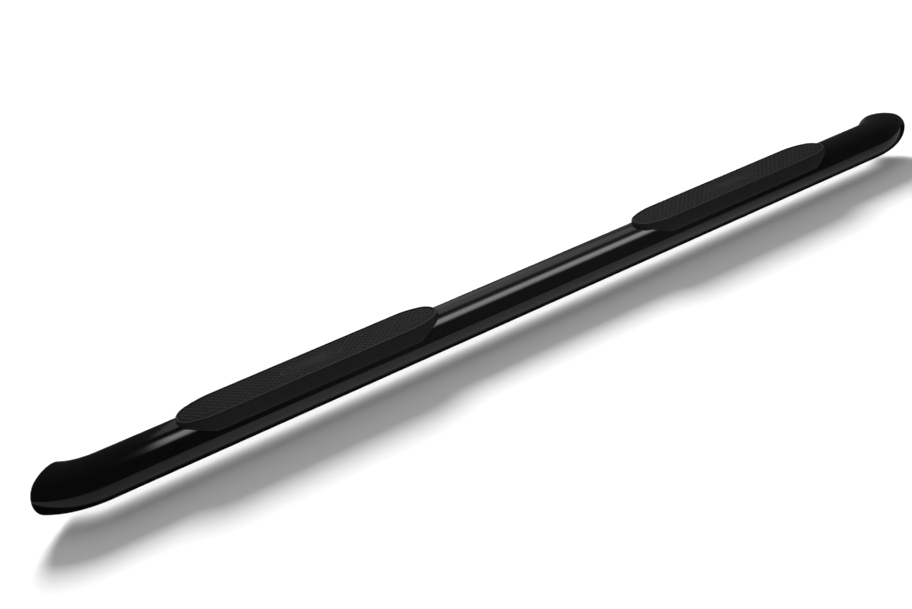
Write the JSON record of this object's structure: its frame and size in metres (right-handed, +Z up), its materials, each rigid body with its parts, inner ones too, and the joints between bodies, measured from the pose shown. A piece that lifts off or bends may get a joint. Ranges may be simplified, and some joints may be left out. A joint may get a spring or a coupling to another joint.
{
  "type": "running board",
  "caption": "Oval-tube side step bar with both ends swept back to the vehicle, moulded non-slip step pads, end plugs and threaded inserts underneath for brackets.",
  "frame": {"origin": "centre of the middle pair of threaded inserts, on the plane where the bracket seats", "axes": "+X along the bar, +Y towards the vehicle, +Z up to the tread"},
  "size_m": [2.034, 0.1233, 0.0848],
  "materials": {
    "gloss_black_steel": "gloss black coat on steel tube",
    "pad_plastic": "fine-grained black moulding",
    "plug_plastic": "satin black moulding",
    "clip_nylon": "natural moulded nylon, dyed black",
    "zinc_steel": "zinc plated, yellow passivated"
  },
  "bodies": {
    "root": {"main_tube": "gloss_black_steel", "end_cap_left": "plug_plastic", "end_cap_right": "plug_plastic", "step_pad_left": "pad_plastic", "step_pad_right": "pad_plastic", "pad_clips_left": "clip_nylon", "pad_clips_right": "clip_nylon", "inserts_left": "zinc_steel", "inserts_middle": "zinc_steel", "inserts_right": "zinc_steel"}
  },
  "joints": []
}
